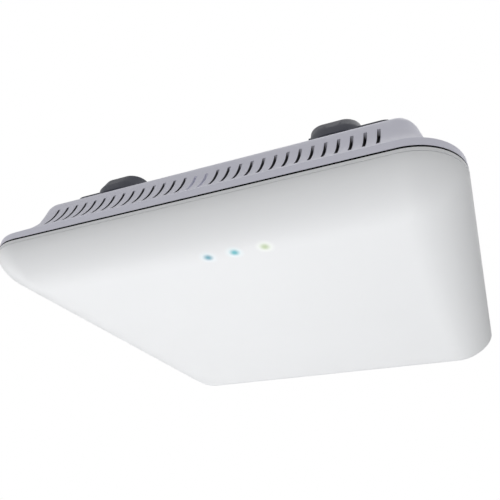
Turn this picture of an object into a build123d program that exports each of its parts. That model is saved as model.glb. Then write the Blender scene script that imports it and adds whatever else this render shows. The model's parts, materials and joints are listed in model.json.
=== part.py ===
"""Ceiling access point hanging on its slide-on mounting bracket, made as separate pieces.

Frame: millimetres, +Z up towards the ceiling. The origin is the centre of the plane where the bracket
meets the ceiling. The body hangs below it with the white cover facing down, and the status lights lie
towards -Y. Heights named "above the seam" are measured from the split between cover and base housing.
"""

from build123d import *

import math
import os

# ---- overall sizes -------------------------------------------------------------------------------
BODY_SIZE = 200.0
CORNER_RADIUS = 20.5
CORNER_RADII = [(0.0, CORNER_RADIUS), (10.5, 14.0), (16.0, 6.4), (18.5, 3.0), (99.0, 3.0)]  # by inset
COVER_DEPTH = 14.2
BASE_HEIGHT = 30.0
WALL = 2.2
SEAM_Z = -42.0
SEAM_GAP = 0.85
FACE_Z = SEAM_Z - COVER_DEPTH
BACK_Z = SEAM_Z + BASE_HEIGHT
BACK_INNER_Z = BACK_Z - WALL
FACE_INNER_Z = FACE_Z + 2.0
HALF = BODY_SIZE / 2

# ---- cover ---------------------------------------------------------------------------------------
COVER_BLEND = 23.9  # width of the curved rim between the side and the flat face
RIM_SIDE_PULL = 0.361  # how far the rim's curve keeps to the side, as a share of its depth
RIM_FACE_PULL = 0.538  # how far it keeps to the face, as a share of its width
TONGUE_CLEARANCE = 0.25
TONGUE_THICKNESS = 1.4
TONGUE_RISE = 2.6
GROOVE_BELOW_SEAM = (1.5, 1.85)  # a fine line moulded round the cover
GROOVE_INSET = 0.52
GASKET_INSETS = (0.15, 1.95)

# ---- base housing profile, as (inset from the side, height above the seam) ----------------------
LIP_TOP = (0.2, 3.6)
WALL_FOOT = (10.5, 12.9)
WALL_HEAD = (16.0, BASE_HEIGHT)
FOOT_RADIUS = 28.0
HEAD_RADIUS = 8.7
ARC_STEPS = 5

# ---- vent slots ----------------------------------------------------------------------------------
SLOT_COUNT = 30
SLOT_PITCH = 5.0
SLOT_WIDTH = 1.3
SLOT_OUTLINE = [(4.2, 12.8), (10.2, 7.3), (17.8, 11.5), (16.6, 18.6), (13.7, 21.6), (9.5, 22.6)]
BLIND_SLOT_OUTLINE = [(4.2, 12.8), (7.4, 9.9), (12.4, 14.8), (13.8, 18.5), (13.5, 20.8), (9.5, 22.0)]
SIDE_BLOCK_WIDTH = 12.0
SIDE_BLOCK_OUTLINE = [(8.0, 10.0), (13.5, 10.0), (17.0, 16.0), (17.0, 26.0), (12.0, 26.0)]
LABEL_AREA = (-40.0, 22.0, -36.0, -2.0)
LABEL_THICKNESS = 0.25
LABEL_RECESS_DEPTH = 0.3
LABEL_GAP = 0.4

# ---- port bay in the back ------------------------------------------------------------------------
BAY_HALF_WIDTH = 34.0
BAY_NEAR_Y = 16.0
BAY_FAR_Y = 60.0
BAY_FLOOR_Z = BACK_Z - 20.0
BAY_WALL = 2.0
BAY_CORNER = 4.0
BAY_FLANGE = 3.0
BAY_FLANGE_THICKNESS = 1.4
BAY_JOINT_GAP = 0.05
LOCK_SLOT_WIDTH = 7.0
LOCK_SLOT_Z = (-24.5, -21.5)

# ---- circuit board -------------------------------------------------------------------------------
BOARD_TOP_Z = -31.6
BOARD_THICKNESS = 1.6
BOARD_BOTTOM_Z = BOARD_TOP_Z - BOARD_THICKNESS
BOARD_HALF_WIDTH = 62.0
BOARD_NEAR_Y = -84.0
BOARD_FAR_Y = 13.6
BOARD_POSTS = [(-56.0, -78.0), (56.0, -78.0), (-56.0, 6.0), (56.0, 6.0)]
POST_RADIUS = 3.2
BOARD_HOLE_RADIUS = 1.7
BOARD_PILOT_RADIUS = 1.25

# ---- parts on the board: (x, y), (x, y, side) or (x, y, width, depth) ----------------------------
CHIP_HEIGHT = 1.5
MEMORY_HEIGHT = 1.1
PROCESSOR = (-4.0, -46.0, 19.0)
RADIO_CHIPS = [(-34.0, -46.0, 12.0), (26.0, -46.0, 12.0)]
MEMORY_CHIPS = [(-4.0, -76.0, 12.0, 8.0), (14.0, -68.5, 8.0, 9.5), (-49.5, -12.0, 9.0, 9.0)]
PAD_HEIGHT = 1.0
SINK_X = (-44.0, 38.0)
SINK_Y = (-62.0, -24.0)
SINK_BASE_Z = BOARD_TOP_Z + CHIP_HEIGHT + PAD_HEIGHT
SINK_BASE = 3.0
SINK_TOP_Z = -18.2
FIN_COUNT = 12
FIN_THICKNESS = 1.4
CAPACITORS = [(52.0, -46.0), (52.0, -34.5), (-54.0, -46.0), (46.0, -13.0), (-38.0, -14.0)]
CAPACITOR_RADIUS = 4.0
CAPACITOR_HEIGHT = 10.0
CHOKES = [(33.5, -14.0), (-54.5, -31.0), (-52.0, -62.0), (52.0, -62.0)]
CAPACITOR_FOOT = 8.4
TRANSFORMERS = [(-2.0, -15.0), (18.5, -15.0)]
TRANSFORMER_LEADS = 7
TRANSFORMER_PITCH = 2.1
SHIELDS = {"rf_shield_2g": (-33.0, -50.0), "rf_shield_5g": (32.0, -50.0)}
SHIELD_SIZE = (36.0, 30.0, 3.6)
SHIELD_SHEET = 0.3

# ---- status lights -------------------------------------------------------------------------------
LED_X = [2.0, 13.2, 25.6]
LED_Y = -79.5
LED_HEIGHT = 1.0
PIPE_RADIUS = 1.5
WINDOW_SKIN = 0.7
PIPE_BAR_Z = -46.0

# ---- case screws ---------------------------------------------------------------------------------
CASE_SCREWS = [(sx * 70.0, sy * 70.0) for sx in (-1, 1) for sy in (-1, 1)]
CASE_BOSS_RADIUS = 5.0
CASE_WELL_RADIUS = 3.3
CASE_SEAT_Z = SEAM_Z + 5.0
CASE_PILOT_RADIUS = 1.25

# ---- mounting bracket ----------------------------------------------------------------------------
DOME_TOP_Z = 0.0
PLATE_TOP_Z = -5.6
PLATE_THICKNESS = 3.0
PLATE_BOTTOM_Z = PLATE_TOP_Z - PLATE_THICKNESS
PLATE_HALF_X = 78.0
PLATE_HALF_Y = 75.0
PLATE_CORNER = 6.0
NOTCH_HALF_X = 42.0
NOTCH_Y = -58.5
WINDOW_HALF_X = 33.0
WINDOW_Y = (13.0, 57.0)
DOME_FOOT_X = (41.3, 64.5)  # limits of a dome at the plate, and of its flat top, away from the middle
DOME_FOOT_Y = (60.5, 78.2)
DOME_ROOF_X = (41.3, 62.9)
DOME_ROOF_Y = (60.5, 75.2)
DOME_X = sum(DOME_ROOF_X) / 2
DOME_Y = sum(DOME_ROOF_Y) / 2
DOME_FOOT_CORNER = 8.6
DOME_ROOF_CORNER = 6.8
DOME_EDGE = 0.5
DOME_WALL = 1.5
LOCK_TRAVEL = 9.0
STUD_HEAD_RADIUS = 3.5
STUD_NECK_RADIUS = 2.0
STUD_PILOT_RADIUS = 1.6
STUD_PILOT_DEPTH = 6.0
STUD_BOSS_RADIUS = 4.2
STUD_OFFSET_X = -4.5  # the studs stand at the -X end of the domes when the body is locked
CEILING_HOLES = (124.0, 76.0)
BOX_HOLE_SPACING = 83.3
BOX_HOLE_Y = 35.0
FIXING_HOLE_RADIUS = 2.25
STANDOFF_RADIUS = 5.5
RELIEF_X = 48.0  # openings that lighten the plate
RELIEF_Y = [-36.0, -18.0, 0.0, 18.0]
RELIEF_SIZE = (10.0, 12.0)

# ---- release latch -------------------------------------------------------------------------------
LATCH_PIVOT = (-20.0, -5.0)  # Y and Z of the pin
LATCH_PIN_RADIUS = 1.0
LATCH_HALF_WIDTH = 6.0
LATCH_BOTTOM_Z = -6.2
LATCH_TOP_Z = -3.8
LATCH_TIP_Y = -66.0
NOSE_Y = (-51.0, -45.0)
NOSE_HALF_X = 3.0
POCKET_DEPTH = 2.0
CATCH_BLOCK_X = (-17.0, 7.0)
CATCH_BLOCK_DEPTH = 2.2
NOSE_TIP_Z = BACK_Z - POCKET_DEPTH + 0.3
RAMP_SLOPE = 0.2
EAR_X = (6.6, 10.0)
EAR_HALF_DEPTH = 3.4
EAR_TOP_Z = -2.4
LATCH_SLOT_END_Y = -15.6
SPRING_PAD_Y = -9.0
SPRING_SEAT_Z = -2.6
SPRING_THICKNESS = 0.4
SPRING_WIDTH = 5.0
SPRING_SCREW_Y = -12.3
SPRING_SCREW_RADIUS = 0.9

# ---- jacks ---------------------------------------------------------------------------------------
JACK_SIZE = (16.0, 21.4, 13.4)
JACK_FRONT_Y = BAY_NEAR_Y - 0.4
POE_JACK_X = 0.0
LAN_JACK_X = 18.5
SHELL_THICKNESS = 0.3
SOCKET_WIDTH = 11.8
SOCKET_DEPTH = 13.0
SOCKET_Z = (2.6, 9.6)  # above the board
CONTACT_PITCH = 1.02
CONTACT_HALF = 0.22
CONTACT_COUNT = 8
DC_JACK_X = -18.5
DC_JACK_SIZE = (9.0, 14.0, 11.0)
DC_BORE_RADIUS = 3.1
DC_AXIS_Z = BOARD_TOP_Z + 6.0
RESET_X = -28.5
RESET_Z = BOARD_TOP_Z + 4.0
RESET_TRAVEL = 0.5
RESET_FACE_Y = BAY_NEAR_Y - 0.3
SWITCH_FRONT_Y = BAY_NEAR_Y - 7.0
RESET_HOLE_RADIUS = 1.9
JACK_CLEARANCE = 0.15

# ---- radio parts ---------------------------------------------------------------------------------
ANTENNA_PLATE_Z = FACE_INNER_Z + 6.0
ANTENNA_SHEET = 0.5
COAX_RADIUS = 0.57
PLUG_RADIUS = 1.35
ANTENNAS = {  # name: (x, y, turn in degrees, length)
    "antenna_2g_1": (-72.0, 42.0, 90, 34.0),
    "antenna_2g_2": (72.0, 42.0, -90, 34.0),
    "antenna_2g_3": (22.0, 75.0, 0, 34.0),
    "antenna_5g_1": (-72.0, -28.0, 90, 24.0),
    "antenna_5g_2": (72.0, -28.0, -90, 24.0),
    "antenna_5g_3": (-26.0, 75.0, 0, 24.0),
}
PLUGS = {  # where each antenna lead plugs in under the board
    "antenna_2g_1": (-40.0, -22.0),
    "antenna_2g_2": (40.0, -22.0),
    "antenna_2g_3": (22.0, -8.0),
    "antenna_5g_1": (-40.0, -31.0),
    "antenna_5g_2": (40.0, -31.0),
    "antenna_5g_3": (-22.0, -8.0),
}
PLUG_Z = BOARD_BOTTOM_Z - 1.15
FEED_Z = ANTENNA_PLATE_Z - COAX_RADIUS - 0.08
COAX_ROUTES = {  # middle points of each lead, from its plug under the board to its antenna's feed tab
    "antenna_2g_1": [(-48.0, -20.9, -34.9), (-54.5, -16.0, -38.2), (-58.0, -8.0, -43.5),
                     (-59.4, 2.0, -48.8), (-59.2, 12.0, -51.6), (-58.4, 21.0, -50.9),
                     (-58.5, 28.0, -49.3), (-61.6, 31.4, FEED_Z)],
    "antenna_2g_2": [(48.0, -20.8, -34.9), (54.5, -15.0, -38.2), (57.6, -5.5, -43.5),
                     (58.8, 6.0, -48.8), (59.0, 18.5, -51.8), (58.7, 31.0, -52.4),
                     (58.2, 42.0, -50.9), (58.4, 49.0, -49.3), (61.6, 52.4, FEED_Z)],
    "antenna_2g_3": [(22.5, 0.5, -34.9), (22.2, 8.5, -38.8), (20.4, 17.5, -44.8),
                     (17.0, 28.0, -49.8), (13.8, 39.5, -52.2), (11.7, 50.5, -52.0),
                     (11.3, 58.5, -50.1), (11.5, 64.4, FEED_Z)],
    "antenna_5g_1": [(-47.5, -31.2, -34.9), (-54.0, -32.0, -39.6), (-57.6, -33.0, -45.8),
                     (-61.6, -33.5, FEED_Z)],
    "antenna_5g_2": [(47.5, -30.4, -34.9), (54.0, -27.9, -39.6), (57.8, -24.6, -45.8),
                     (61.8, -22.6, FEED_Z)],
    "antenna_5g_3": [(-22.5, 0.5, -34.9), (-23.4, 8.5, -38.8), (-25.6, 17.5, -44.8),
                     (-28.4, 28.0, -49.8), (-30.6, 39.5, -52.2), (-31.6, 50.5, -52.0),
                     (-31.8, 58.5, -50.1), (-31.5, 64.4, FEED_Z)],
}


def write(name, *solids):
    """Writes one node's solids to its own STEP file."""
    shape = solids[0] if len(solids) == 1 else Compound(children=list(solids))
    export_step(shape, f"parts/{name}.step")


def block(x0, x1, y0, y1, z0, z1):
    """A box given by its limits."""
    centre = ((x0 + x1) / 2, (y0 + y1) / 2, (z0 + z1) / 2)
    return Pos(*centre) * Box(x1 - x0, y1 - y0, z1 - z0)


def rod(x, y, z0, z1, radius):
    """An upright cylinder between two heights."""
    return Pos(x, y, (z0 + z1) / 2) * Cylinder(radius, z1 - z0)


def rod_y(x, y0, y1, z, radius):
    """A cylinder along Y."""
    return Pos(x, (y0 + y1) / 2, z) * Rot(90, 0, 0) * Cylinder(radius, y1 - y0)


def rod_x(x0, x1, y, z, radius):
    """A cylinder along X."""
    return Pos((x0 + x1) / 2, y, z) * Rot(0, 90, 0) * Cylinder(radius, x1 - x0)


def rounded_block(x0, x1, y0, y1, z0, z1, radius):
    """A box with rounded upright edges."""
    outline = Pos((x0 + x1) / 2, (y0 + y1) / 2, z0) * RectangleRounded(x1 - x0, y1 - y0, radius)
    return extrude(outline, z1 - z0)


# ---- shells lofted from rounded squares ----------------------------------------------------------
def corner_radius(inset):
    """Plan corner radius of the body at a given inset."""
    for (i0, r0), (i1, r1) in zip(CORNER_RADII, CORNER_RADII[1:]):
        if inset <= i1:
            return r0 + (r1 - r0) * (inset - i0) / (i1 - i0)


def section(inset, height):
    """The body's rounded-square outline at an inset, at a height above the seam."""
    side = BODY_SIZE - 2 * inset
    return Pos(0, 0, SEAM_Z + height) * RectangleRounded(side, side, corner_radius(inset))


def band(points, ruled=False):
    """One stretch of shell through (inset, height) points, as a solid."""
    return loft([section(*p) for p in points], ruled=ruled)


def rounded_corner(before, corner, after, radius):
    """Points of an arc that rounds a corner of a profile, tangent to both of its lines."""
    a = Vector(*before) - Vector(*corner)
    b = Vector(*after) - Vector(*corner)
    a, b = a.normalized(), b.normalized()
    half_angle = math.radians(a.get_angle(b)) / 2
    start = Vector(*corner) + a * (radius / math.tan(half_angle))
    centre = Vector(*corner) + (a + b).normalized() * (radius / math.sin(half_angle))
    sweep = math.pi - 2 * half_angle
    if a.cross(b).Z > 0:
        sweep = -sweep
    spoke = start - centre
    turned = []
    for i in range(ARC_STEPS + 1):
        t = sweep * i / ARC_STEPS
        x = spoke.X * math.cos(t) - spoke.Y * math.sin(t)
        y = spoke.X * math.sin(t) + spoke.Y * math.cos(t)
        turned.append((centre.X + x, centre.Y + y))
    return turned


def shifted(p, q, distance):
    """The line from p to q moved sideways into the housing, as two points."""
    along = (Vector(*q) - Vector(*p)).normalized()
    side = Vector(along.Y, -along.X) * distance
    return Vector(*p) + side, Vector(*q) + side


def crossing(line_a, line_b):
    """Where two lines cross."""
    (p, p2), (q, q2) = line_a, line_b
    r, s = p2 - p, q2 - q
    t = (q - p).cross(s).Z / r.cross(s).Z
    return (p.X + r.X * t, p.Y + r.Y * t)


def housing_body(depth):
    """The base housing's outer form, or its hollow when depth is the wall thickness."""
    slope = shifted(LIP_TOP, WALL_FOOT, depth)
    wall = shifted(WALL_FOOT, WALL_HEAD, depth)
    back = (Vector(0, BASE_HEIGHT - depth), Vector(60, BASE_HEIGHT - depth))
    lip_inset = LIP_TOP[0] + depth
    lip = (Vector(lip_inset, 0), Vector(lip_inset, 10))
    p1 = crossing(lip, slope)
    p2 = crossing(slope, wall)
    p3 = crossing(wall, back)
    foot = rounded_corner(p1, p2, p3, FOOT_RADIUS + depth)
    head = rounded_corner(p2, p3, (60, p3[1]), HEAD_RADIUS - depth)
    start = SEAM_GAP / 2 if depth == 0 else -0.5
    body = band([(depth if depth else 0.0, start), (lip_inset, p1[1])], ruled=True)
    body += band([p1, foot[0]], ruled=True)
    body += band(foot)
    body += band([foot[-1], head[0]], ruled=True)
    body += band(head)
    return body


def slot_cutter(outline, x):
    """A thin prism across the -Y side that cuts one vent slot."""
    points = [(-HALF + inset, SEAM_Z + height) for inset, height in outline]
    face = Plane.YZ * Polygon(*points, align=None)
    return Pos(x - SLOT_WIDTH / 2, 0, 0) * extrude(face, SLOT_WIDTH)


def vent_cutters():
    """Every vent slot on the four sides. The two in the middle of a side are blind."""
    middle = (SLOT_COUNT / 2 - 1, SLOT_COUNT / 2)
    cutters = []
    for side in range(4):
        for i in range(SLOT_COUNT):
            outline = BLIND_SLOT_OUTLINE if i in middle else SLOT_OUTLINE
            x = (i - (SLOT_COUNT - 1) / 2) * SLOT_PITCH
            cutters.append(Rot(0, 0, 90 * side) * slot_cutter(outline, x))
    return cutters


def stud_places():
    """Plan positions of the four studs that hang the body on the bracket."""
    return [(STUD_OFFSET_X + sx * DOME_X, sy * DOME_Y) for sx in (-1, 1) for sy in (-1, 1)]


# ---- body shells ---------------------------------------------------------------------------------
def base_housing():
    """Grey back shell: vents, the port bay's mouth, board posts, screw wells and the latch pocket."""
    hollow = housing_body(WALL)
    solid = housing_body(0) - hollow

    for side in range(4):
        points = [(-HALF + inset, SEAM_Z + height) for inset, height in SIDE_BLOCK_OUTLINE]
        face = Plane.YZ * Polygon(*points, align=None)
        rib = Pos(-SIDE_BLOCK_WIDTH / 2, 0, 0) * extrude(face, SIDE_BLOCK_WIDTH)
        solid += Rot(0, 0, 90 * side) * (rib & housing_body(WALL / 2))

    near, far = NOSE_Y[0] - 3, NOSE_Y[1] + 3
    solid += block(*CATCH_BLOCK_X, near, far, BACK_INNER_Z - CATCH_BLOCK_DEPTH, BACK_Z - 1)
    for x, y in BOARD_POSTS:
        solid += rod(x, y, BOARD_TOP_Z, BACK_Z - 1, POST_RADIUS)
    for x, y in CASE_SCREWS:
        solid += rod(x, y, CASE_SEAT_Z - 2, BACK_Z - 1, CASE_BOSS_RADIUS)
    for x, y in stud_places():
        solid += rod(x, y, BACK_INNER_Z - 6, BACK_Z - 1, STUD_BOSS_RADIUS)

    solid -= rounded_block(
        -BAY_HALF_WIDTH, BAY_HALF_WIDTH, BAY_NEAR_Y, BAY_FAR_Y, BAY_FLOOR_Z, BACK_Z + 1, BAY_CORNER
    )
    for x, y in BOARD_POSTS:
        solid -= rod(x, y, BOARD_TOP_Z - 1, BOARD_TOP_Z + 9, BOARD_PILOT_RADIUS)
    for x, y in CASE_SCREWS:
        solid -= rod(x, y, CASE_SEAT_Z, BACK_Z + 1, CASE_WELL_RADIUS)
        solid -= rod(x, y, CASE_SEAT_Z - 3, CASE_SEAT_Z + 1, BOARD_HOLE_RADIUS)
    for x, y in stud_places():
        solid -= rod(x, y, BACK_Z - STUD_PILOT_DEPTH, BACK_Z + 1, STUD_PILOT_RADIUS)
    solid -= latch_pocket()
    solid -= label_recess()
    solid -= vent_cutters()
    return solid


def port_bay_tub():
    """Tub under the mouth of the port bay, with openings for the jacks, the reset button and a lock."""
    wall = BAY_WALL
    top = BACK_INNER_Z - BAY_JOINT_GAP
    edge = wall + BAY_FLANGE
    solid = rounded_block(
        -BAY_HALF_WIDTH - wall, BAY_HALF_WIDTH + wall, BAY_NEAR_Y - wall, BAY_FAR_Y + wall,
        BAY_FLOOR_Z - wall, top, BAY_CORNER + wall,
    )
    solid += rounded_block(
        -BAY_HALF_WIDTH - edge, BAY_HALF_WIDTH + edge, BAY_NEAR_Y - edge, BAY_FAR_Y + edge,
        top - BAY_FLANGE_THICKNESS, top, BAY_CORNER + edge,
    )
    solid -= rounded_block(
        -BAY_HALF_WIDTH, BAY_HALF_WIDTH, BAY_NEAR_Y, BAY_FAR_Y, BAY_FLOOR_Z, BACK_Z, BAY_CORNER
    )
    jacks = [(x, JACK_SIZE) for x in (POE_JACK_X, LAN_JACK_X)] + [(DC_JACK_X, DC_JACK_SIZE)]
    for x, size in jacks:
        half = size[0] / 2 + JACK_CLEARANCE
        solid -= block(
            x - half, x + half, BAY_NEAR_Y - wall - 1, BAY_NEAR_Y + 0.5,
            BOARD_TOP_Z - JACK_CLEARANCE, BOARD_TOP_Z + size[2] + JACK_CLEARANCE,
        )
    solid -= rod_y(RESET_X, BAY_NEAR_Y - wall - 1, BAY_NEAR_Y + 1, RESET_Z, RESET_HOLE_RADIUS)
    return solid - lock_slot_cut()


def latch_pocket():
    """The sloped catch in the back that the latch nose drops into."""
    floor = BACK_Z - POCKET_DEPTH
    run = (POCKET_DEPTH + 1) / RAMP_SLOPE
    left = -NOSE_HALF_X - 0.3
    right = NOSE_HALF_X + 0.5
    points = [(right, floor), (right, BACK_Z + 1), (left - run, BACK_Z + 1), (left, floor)]
    face = Plane.XZ * Polygon(*points, align=None)
    depth = NOSE_Y[1] - NOSE_Y[0] + 2.4
    return Pos(0, NOSE_Y[1] + 1.2, 0) * extrude(face, depth)


def label_recess():
    """Shallow recess in the back for the rating label."""
    x0, x1, y0, y1 = LABEL_AREA
    return rounded_block(x0, x1, y0, y1, BACK_Z - LABEL_RECESS_DEPTH, BACK_Z + 1, 2)


def rating_label():
    """Blank rating label."""
    x0, x1, y0, y1 = LABEL_AREA
    z0 = BACK_Z - LABEL_RECESS_DEPTH
    return rounded_block(
        x0 + LABEL_GAP, x1 - LABEL_GAP, y0 + LABEL_GAP, y1 - LABEL_GAP, z0, z0 + LABEL_THICKNESS, 1.8
    )


def lock_slot_cut():
    """Anti-theft slot in the far wall of the port bay."""
    half = LOCK_SLOT_WIDTH / 2
    return block(-half, half, BAY_FAR_Y - 1, BAY_FAR_Y + BAY_WALL + 1, *LOCK_SLOT_Z)


def rim_section(skin):
    """Half of the cover's section, or of its hollow: the rim is one curve from the side to the face."""
    blend, depth = COVER_BLEND - skin, COVER_DEPTH - skin - SEAM_GAP / 2
    side = -HALF + skin
    shoulder = SEAM_Z - SEAM_GAP / 2
    face_z = shoulder - depth
    top = SEAM_Z + 1.0 if skin else shoulder
    start, end = (side, shoulder), (side + blend, face_z)
    pulls = [(side, shoulder - RIM_SIDE_PULL * depth), (end[0] - RIM_FACE_PULL * blend, face_z)]
    outline = [
        Bezier(start, *pulls, end),
        Line(end, (0, face_z)),
        Line((0, face_z), (0, top)),
        Line((0, top), (side, top)),
    ]
    if skin:
        outline.append(Line((side, top), start))
    return make_face(outline)


def cover_body(skin):
    """The cover's outer form, or its hollow when skin is the wall thickness."""
    half = rim_section(skin)
    ridge = extrude(Plane.XZ * (half + mirror(half, about=Plane.YZ)), HALF - skin, both=True)
    body = ridge & Rot(0, 0, 90) * ridge
    centre = -HALF + CORNER_RADIUS
    reach = Pos(centre - HALF, 0, 0) * Rectangle(2 * HALF, 4 * HALF)
    through = Plane(origin=(0, centre, 0), x_dir=(1, 0, 0), z_dir=(0, -1, 0))
    corner = revolve(through * (half & reach), Axis((centre, centre, 0), (0, 0, 1)), 90)
    square = block(-2 * HALF, centre, -2 * HALF, centre, -2 * HALF, 2 * HALF)
    for i in range(4):
        body -= Rot(0, 0, 90 * i) * square
    for i in range(4):
        body += Rot(0, 0, 90 * i) * corner
    return body


def front_cover():
    """White radome: thin LED windows, light-pipe collars, screw bosses and antenna posts inside."""
    inner_skin = FACE_INNER_Z - FACE_Z
    solid = cover_body(0) - cover_body(inner_skin)

    outer = WALL + TONGUE_CLEARANCE
    tongue_top = SEAM_Z + TONGUE_RISE
    inside = outer + TONGUE_THICKNESS
    ring = extrude(section(outer, -4.0), TONGUE_RISE + 4.0)
    ring -= extrude(section(inside, -5.0), TONGUE_RISE + 6.0)
    solid += ring & block(-HALF, HALF, -HALF, HALF, SEAM_Z - 4.0, tongue_top)
    high, low = GROOVE_BELOW_SEAM
    groove = extrude(section(-1.0, -low), low - high) - extrude(section(GROOVE_INSET, -low), low - high)
    solid -= groove

    for x, y in CASE_SCREWS:
        solid += rod(x, y, FACE_INNER_Z - 0.5, CASE_SEAT_Z - 2.1, CASE_BOSS_RADIUS - 0.6)
        solid -= rod(x, y, FACE_INNER_Z + 3, CASE_SEAT_Z, CASE_PILOT_RADIUS)
    for x, y, turn, length in ANTENNAS.values():
        for end in (-1, 1):
            post = rod(end * (length / 2 - 4), 0, FACE_INNER_Z - 0.5, ANTENNA_PLATE_Z, 2.2)
            post += rod(end * (length / 2 - 4), 0, ANTENNA_PLATE_Z - 1, ANTENNA_PLATE_Z + 1.1, 0.9)
            solid += Pos(x, y, 0) * Rot(0, 0, turn) * post
    collar_top = PIPE_BAR_Z - 0.1
    for x in LED_X:
        solid += rod(x, LED_Y, FACE_Z + 1.2, collar_top, PIPE_RADIUS + 1.3)
    for x in LED_X:
        solid -= rod(x, LED_Y, FACE_Z + WINDOW_SKIN, collar_top + 1, PIPE_RADIUS + 0.1)
    return solid


def seam_gasket():
    """Dark gasket ring pressed between the cover's rim and the housing's rim."""
    low = -SEAM_GAP / 2
    outline = section(GASKET_INSETS[0], low)
    return extrude(outline, SEAM_GAP) - extrude(section(GASKET_INSETS[1], low - 1), SEAM_GAP + 2)


# ---- bracket -------------------------------------------------------------------------------------
def mount_bracket():
    """Dark ceiling bracket: plate, four hollow lock domes, screw standoffs and the latch's ears."""
    plate = rounded_block(
        -PLATE_HALF_X, PLATE_HALF_X, -PLATE_HALF_Y, PLATE_HALF_Y, PLATE_BOTTOM_Z, PLATE_TOP_Z, PLATE_CORNER
    )
    plate -= rounded_block(
        -NOTCH_HALF_X, NOTCH_HALF_X, -PLATE_HALF_Y - 20, NOTCH_Y, PLATE_BOTTOM_Z - 1, PLATE_TOP_Z + 1, 8
    )
    plate -= rounded_block(
        -WINDOW_HALF_X, WINDOW_HALF_X, *WINDOW_Y, PLATE_BOTTOM_Z - 1, PLATE_TOP_Z + 1, 6
    )
    half = LATCH_HALF_WIDTH + 0.8
    plate -= block(-half, half, NOTCH_Y - 1, LATCH_SLOT_END_Y, PLATE_BOTTOM_Z - 1, PLATE_TOP_Z + 1)

    plate += four_domes()
    for x, y in fixing_holes():
        plate += rod(x, y, PLATE_TOP_Z - 1, DOME_TOP_Z, STANDOFF_RADIUS)
    plate += rod(0, 0, PLATE_TOP_Z - 1, DOME_TOP_Z, STANDOFF_RADIUS)
    for sx in (-1, 1):
        near, far = LATCH_PIVOT[0] - EAR_HALF_DEPTH, LATCH_PIVOT[0] + EAR_HALF_DEPTH
        ear = block(*EAR_X, near, far, PLATE_BOTTOM_Z, EAR_TOP_Z)
        ear = fillet(ear.edges().filter_by(Axis.X).group_by(Axis.Z)[-1], 2.0)
        plate += ear if sx > 0 else mirror(ear, about=Plane.YZ)
    plate += block(-half, half, LATCH_SLOT_END_Y, SPRING_PAD_Y, PLATE_TOP_Z - 1, SPRING_SEAT_Z)

    for sx in (-1, 1):
        for sy in (-1, 1):
            plate -= Pos(sx * DOME_X, sy * DOME_Y, 0) * dome_hollow()
    for x, y in fixing_holes():
        plate -= rod(x, y, PLATE_BOTTOM_Z - 1, DOME_TOP_Z + 1, FIXING_HOLE_RADIUS)
    plate -= rod_x(-11, 11, *LATCH_PIVOT, LATCH_PIN_RADIUS)
    plate -= rod(0, SPRING_SCREW_Y, PLATE_TOP_Z - 1, 0, SPRING_SCREW_RADIUS)
    width, length = RELIEF_SIZE
    for sx in (-1, 1):
        for y in RELIEF_Y:
            x = sx * RELIEF_X
            plate -= rounded_block(
                x - width / 2, x + width / 2, y - length / 2, y + length / 2,
                PLATE_BOTTOM_Z - 1, PLATE_TOP_Z + 1, 3,
            )
    return plate


def fixing_holes():
    """Four ceiling screw holes and two holes for an electrical box."""
    dx, dy = CEILING_HOLES
    holes = [(sx * dx / 2, sy * dy / 2) for sx in (-1, 1) for sy in (-1, 1)]
    return holes + [(sx * BOX_HOLE_SPACING / 2, BOX_HOLE_Y) for sx in (-1, 1)]


def rounded_outline(xs, ys, z, radius):
    """A flat rounded rectangle given by its limits."""
    centre = (sum(xs) / 2, sum(ys) / 2, z)
    return Pos(*centre) * RectangleRounded(xs[1] - xs[0], ys[1] - ys[0], radius)


def lock_dome():
    """The outside of the dome at +X +Y, with leaning outer sides on a straight foot."""
    foot = rounded_outline(DOME_FOOT_X, DOME_FOOT_Y, PLATE_TOP_Z, DOME_FOOT_CORNER)
    roof = rounded_outline(DOME_ROOF_X, DOME_ROOF_Y, DOME_TOP_Z, DOME_ROOF_CORNER)
    dome = loft([foot, roof], ruled=True)
    dome = fillet(dome.faces().sort_by(Axis.Z)[-1].edges(), DOME_EDGE)
    return dome + extrude(foot, -PLATE_THICKNESS)


def four_domes():
    """The four domes, mirrored into the bracket's corners."""
    right = lock_dome() + mirror(lock_dome(), about=Plane.XZ)
    return right + mirror(right, about=Plane.YZ)


def dome_hollow():
    """The keyhole through the plate and the hollow above it where a stud head slides."""
    locked = STUD_OFFSET_X
    entry = locked + LOCK_TRAVEL
    half_x = (DOME_ROOF_X[1] - DOME_ROOF_X[0]) / 2 - DOME_WALL
    half_y = (DOME_ROOF_Y[1] - DOME_ROOF_Y[0]) / 2 - DOME_WALL
    roof = DOME_TOP_Z - DOME_WALL
    corner = DOME_ROOF_CORNER - DOME_WALL
    hollow = rounded_block(-half_x, half_x, -half_y, half_y, PLATE_TOP_Z, roof, corner)
    hollow += rod(entry, 0, PLATE_BOTTOM_Z - 1, PLATE_TOP_Z + 1, STUD_HEAD_RADIUS + 0.5)
    neck = STUD_NECK_RADIUS + 0.4
    hollow += rod(locked, 0, PLATE_BOTTOM_Z - 1, PLATE_TOP_Z + 1, neck)
    hollow += block(locked, entry, -neck, neck, PLATE_BOTTOM_Z - 1, PLATE_TOP_Z + 1)
    return hollow


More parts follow.
